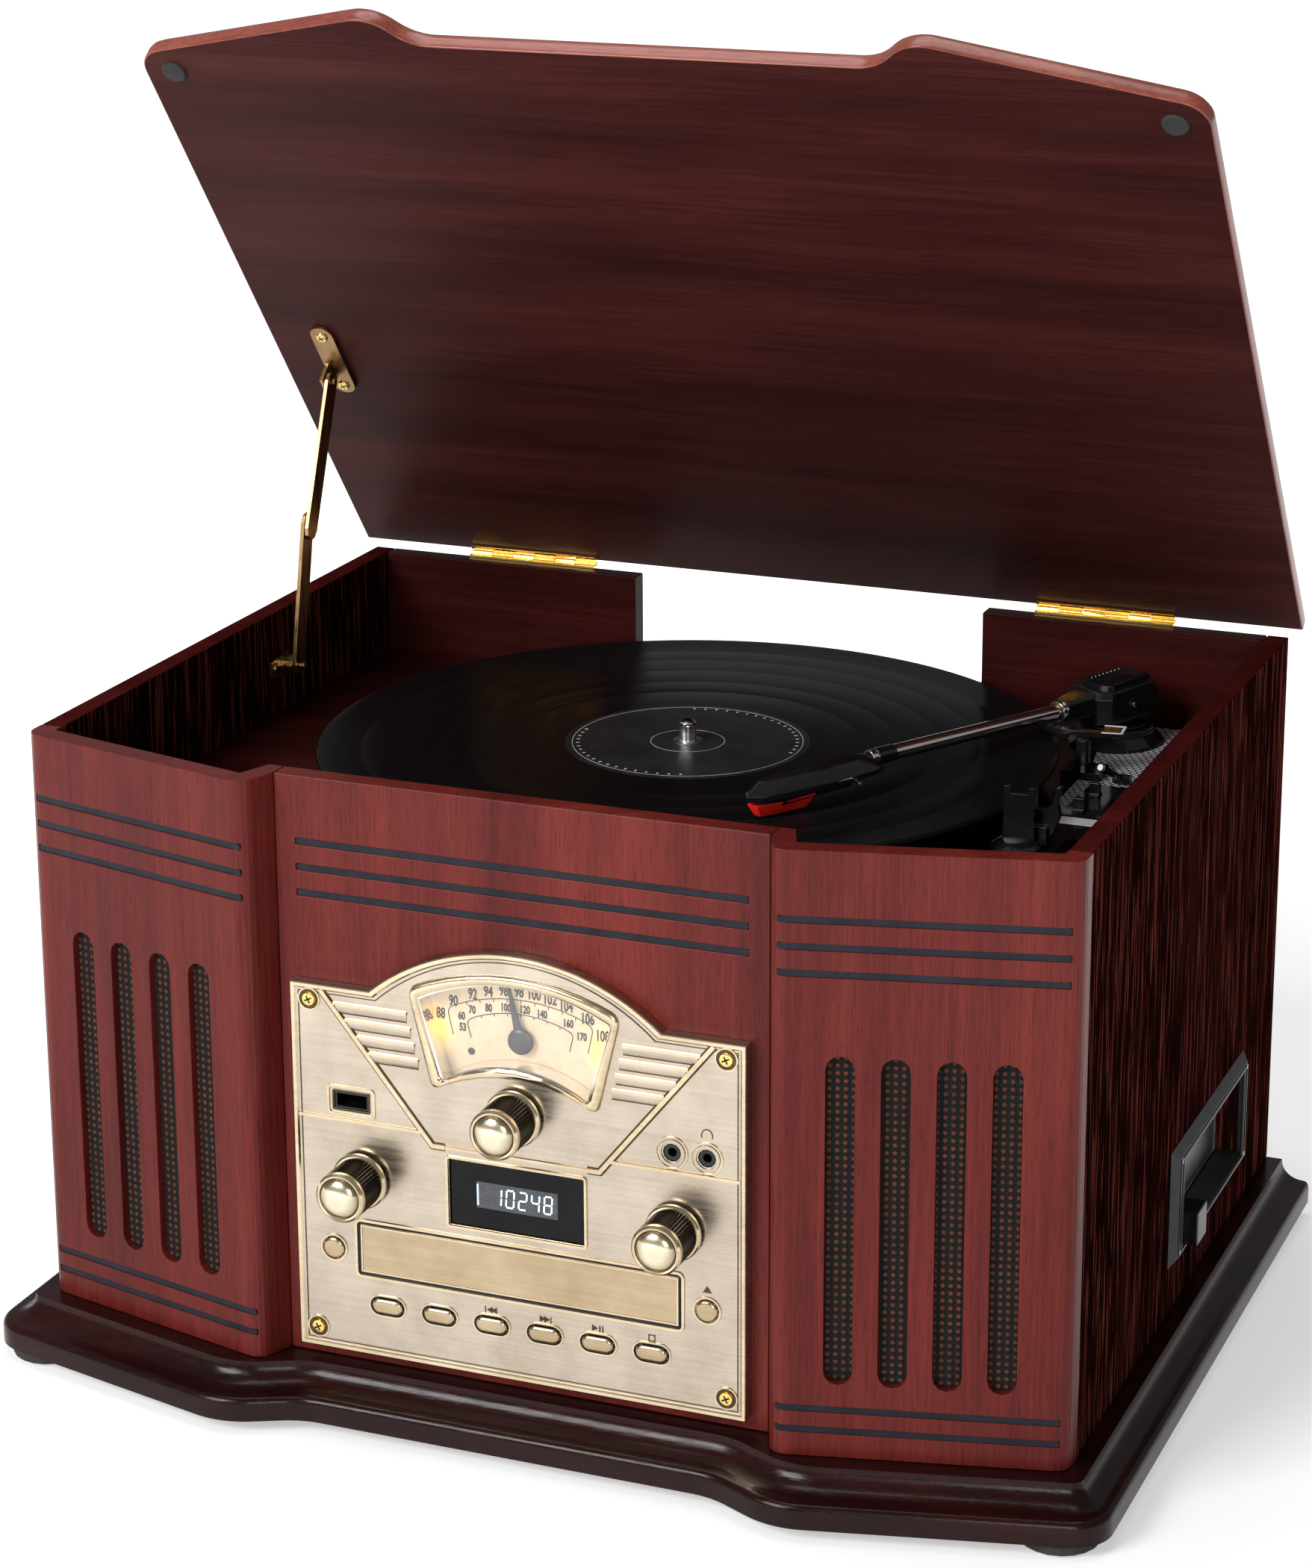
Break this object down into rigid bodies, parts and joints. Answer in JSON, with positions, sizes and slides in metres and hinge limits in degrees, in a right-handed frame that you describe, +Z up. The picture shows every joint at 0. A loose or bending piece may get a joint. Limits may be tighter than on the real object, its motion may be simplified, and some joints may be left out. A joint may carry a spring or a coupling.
{
  "type": "radio phonograph console",
  "caption": "Tabletop wooden music console: record player under a hinged lid, radio dial, disc drawer and side cassette slot, with speaker slots in angled front panels.",
  "frame": {"origin": "bottom centre of the whole object at rest, on the surface it stands on, with the lid propped open", "axes": "+Z up, +X to the right as seen by the listener, +Y towards the back; the radio face looks along -Y"},
  "size_m": [0.464, 0.3626, 0.5328],
  "materials": {
    "mahogany": "satin red-brown stained mahogany veneer",
    "dark_mahogany": "dark glossy stained wood",
    "champagne_brass": "brushed champagne brass finish on moulded parts",
    "antique_brass": "antique brass with dark wear",
    "bright_brass": "polished",
    "black_plastic": "satin black moulded",
    "rubber": "matte",
    "vinyl": "grooved glossy vinyl",
    "red_plastic": "glossy red",
    "cream_dial": "printed cream, backlit amber",
    "clear_plastic": "clear moulded lens",
    "display_window": "glossy black window",
    "steel": "plain pressed steel",
    "circuit_board": "green circuit board"
  },
  "bodies": {
    "cabinet": {"base_board": "dark_mahogany", "foot_front_left": "rubber", "foot_front_right": "rubber", "foot_rear_left": "rubber", "foot_rear_right": "rubber", "left_side_panel": "mahogany", "right_side_panel": "mahogany", "back_panel": "mahogany", "front_left_panel": "mahogany", "front_right_panel": "mahogany", "front_centre_panel": "mahogany", "deck_board": "dark_mahogany", "faceplate": "champagne_brass", "dial_scale": "cream_dial", "dial_lens": "clear_plastic", "display_window": "display_window", "disc_drive_housing": "steel", "remote_window": "champagne_brass", "front_board": "circuit_board", "left_speaker": "steel", "right_speaker": "steel", "cassette_bezel": "black_plastic", "cassette_mechanism": "steel", "turntable_chassis": "black_plastic", "platter_motor": "steel", "drive_belt": "rubber", "arm_rest": "black_plastic", "left_hinge_fixed_leaf": "bright_brass", "right_hinge_fixed_leaf": "bright_brass", "stay_wall_bracket": "antique_brass"},
    "lid": {"lid": "mahogany", "left_hinge_lid_leaf": "bright_brass", "right_hinge_lid_leaf": "bright_brass", "stay_lid_bracket": "antique_brass"},
    "stay_lower": {"stay_lower_arm": "antique_brass"},
    "stay_upper": {"stay_upper_arm": "antique_brass"},
    "platter": {"platter": "black_plastic", "vinyl_record": "vinyl"},
    "gimbal": {"tonearm_gimbal": "black_plastic"},
    "tonearm": {"tonearm": "black_plastic", "cartridge": "red_plastic"},
    "arm_clip": {"arm_clip": "black_plastic"},
    "cue_lever": {"cue_lever": "black_plastic"},
    "cue_lift": {"cue_lift": "black_plastic"},
    "speed_switch": {"speed_switch": "black_plastic"},
    "auto_stop_switch": {"auto_stop_switch": "black_plastic"},
    "tuning_knob": {"tuning_knob": "champagne_brass"},
    "dial_pointer": {"dial_pointer": "black_plastic"},
    "function_knob": {"function_knob": "champagne_brass"},
    "volume_shaft": {"volume_shaft": "steel"},
    "volume_knob": {"volume_knob": "champagne_brass"},
    "eject_button": {"eject_button": "champagne_brass"},
    "disc_drawer": {"disc_drawer": "champagne_brass"},
    "cassette_key": {"cassette_key": "black_plastic"},
    "button_1": {"button_1": "champagne_brass"},
    "button_2": {"button_2": "champagne_brass"},
    "button_3": {"button_3": "champagne_brass"},
    "button_4": {"button_4": "champagne_brass"},
    "button_5": {"button_5": "champagne_brass"},
    "button_6": {"button_6": "champagne_brass"}
  },
  "joints": [
    {"name": "lid_hinge", "type": "hinge", "parent": "cabinet", "child": "lid", "pos_m": [0, 0.17441, 0.262], "axis": [1, 0, 0], "range_deg": [0, 51.7]},
    {"name": "stay_lower_fold", "type": "hinge", "parent": "cabinet", "child": "stay_lower", "pos_m": [-0.196, 0.05955, 0.2365], "axis": [1, 0, 0], "range_deg": [0, 113.7]},
    {"name": "stay_upper_fold", "type": "hinge", "parent": "lid", "child": "stay_upper", "pos_m": [-0.196, 0.09395, 0.35501], "axis": [1, 0, 0], "range_deg": [-89.4, 0]},
    {"name": "platter_spin", "type": "hinge", "parent": "cabinet", "child": "platter", "pos_m": [0, 0.02355, 0.2345], "axis": [0, 0, 1], "continuous": true},
    {"name": "tonearm_swing", "type": "hinge", "parent": "cabinet", "child": "gimbal", "pos_m": [0.149, 0.13555, 0.2375], "axis": [0, 0, 1], "range_deg": [-14, 23.7]},
    {"name": "tonearm_lift", "type": "hinge", "parent": "gimbal", "child": "tonearm", "pos_m": [0.149, 0.13555, 0.2375], "axis": [-0.9265, 0.3762, 0], "range_deg": [0, 2.35]},
    {"name": "cue_lever_turn", "type": "hinge", "parent": "cabinet", "child": "cue_lever", "pos_m": [0.1685, 0.07655, 0.2218], "axis": [-1, 0, 0], "range_deg": [0, 71]},
    {"name": "cue_lift_rise", "type": "slide", "parent": "cabinet", "child": "cue_lift", "axis": [0, 0, 1], "range_m": [0, 0.0022]},
    {"name": "arm_clip_swing", "type": "hinge", "parent": "cabinet", "child": "arm_clip", "pos_m": [0.1608, -0.01045, 0.2262], "axis": [0, 1, 0], "range_deg": [-25, 0]},
    {"name": "speed_switch_slide", "type": "slide", "parent": "cabinet", "child": "speed_switch", "axis": [1, 0, 0], "range_m": [0, 0.008]},
    {"name": "auto_stop_slide", "type": "slide", "parent": "cabinet", "child": "auto_stop_switch", "axis": [1, 0, 0], "range_m": [0, 0.008]},
    {"name": "tuning_knob_turn", "type": "hinge", "parent": "cabinet", "child": "tuning_knob", "pos_m": [0, -0.15645, 0.1383], "axis": [0, 1, 0], "range_deg": [-150, 150]},
    {"name": "dial_pointer_swing", "type": "hinge", "parent": "cabinet", "child": "dial_pointer", "pos_m": [0, -0.14645, 0.1661], "axis": [0, 1, 0], "range_deg": [-50, 50]},
    {"name": "function_knob_turn", "type": "hinge", "parent": "cabinet", "child": "function_knob", "pos_m": [-0.0645, -0.15645, 0.1028], "axis": [0, 1, 0], "range_deg": [-120, 120]},
    {"name": "volume_push", "type": "slide", "parent": "cabinet", "child": "volume_shaft", "axis": [0, 1, 0], "range_m": [0, 0.0012], "stiffness_N_per_m": 1500, "springref_m": -0.001},
    {"name": "volume_turn", "type": "hinge", "parent": "volume_shaft", "child": "volume_knob", "pos_m": [0.0645, -0.15645, 0.1028], "axis": [0, 1, 0], "range_deg": [-150, 150]},
    {"name": "button_1_press", "type": "slide", "parent": "cabinet", "child": "button_1", "axis": [0, 1, 0], "range_m": [0, 0.0012], "stiffness_N_per_m": 1000, "springref_m": -0.001},
    {"name": "button_2_press", "type": "slide", "parent": "cabinet", "child": "button_2", "axis": [0, 1, 0], "range_m": [0, 0.0012], "stiffness_N_per_m": 1000, "springref_m": -0.001},
    {"name": "button_3_press", "type": "slide", "parent": "cabinet", "child": "button_3", "axis": [0, 1, 0], "range_m": [0, 0.0012], "stiffness_N_per_m": 1000, "springref_m": -0.001},
    {"name": "button_4_press", "type": "slide", "parent": "cabinet", "child": "button_4", "axis": [0, 1, 0], "range_m": [0, 0.0012], "stiffness_N_per_m": 1000, "springref_m": -0.001},
    {"name": "button_5_press", "type": "slide", "parent": "cabinet", "child": "button_5", "axis": [0, 1, 0], "range_m": [0, 0.0012], "stiffness_N_per_m": 1000, "springref_m": -0.001},
    {"name": "button_6_press", "type": "slide", "parent": "cabinet", "child": "button_6", "axis": [0, 1, 0], "range_m": [0, 0.0012], "stiffness_N_per_m": 1000, "springref_m": -0.001},
    {"name": "eject_press", "type": "slide", "parent": "cabinet", "child": "eject_button", "axis": [0, 1, 0], "range_m": [0, 0.0012], "stiffness_N_per_m": 1000, "springref_m": -0.001},
    {"name": "disc_drawer_slide", "type": "slide", "parent": "cabinet", "child": "disc_drawer", "axis": [0, -1, 0], "range_m": [0, 0.125]},
    {"name": "cassette_key_press", "type": "slide", "parent": "cabinet", "child": "cassette_key", "axis": [-1, 0, 0], "range_m": [0, 0.003], "stiffness_N_per_m": 800, "springref_m": -0.002}
  ],
  "couplings": [
    {"joint": "stay_lower_fold", "follows": "lid_hinge", "ratio": 2.1926},
    {"joint": "stay_upper_fold", "follows": "lid_hinge", "ratio": -1.7231},
    {"joint": "cue_lever_turn", "follows": "tonearm_lift", "ratio": 29.85},
    {"joint": "cue_lift_rise", "follows": "tonearm_lift", "m_per_rad": 0.0507},
    {"joint": "dial_pointer_swing", "follows": "tuning_knob_turn", "ratio": 0.3}
  ]
}
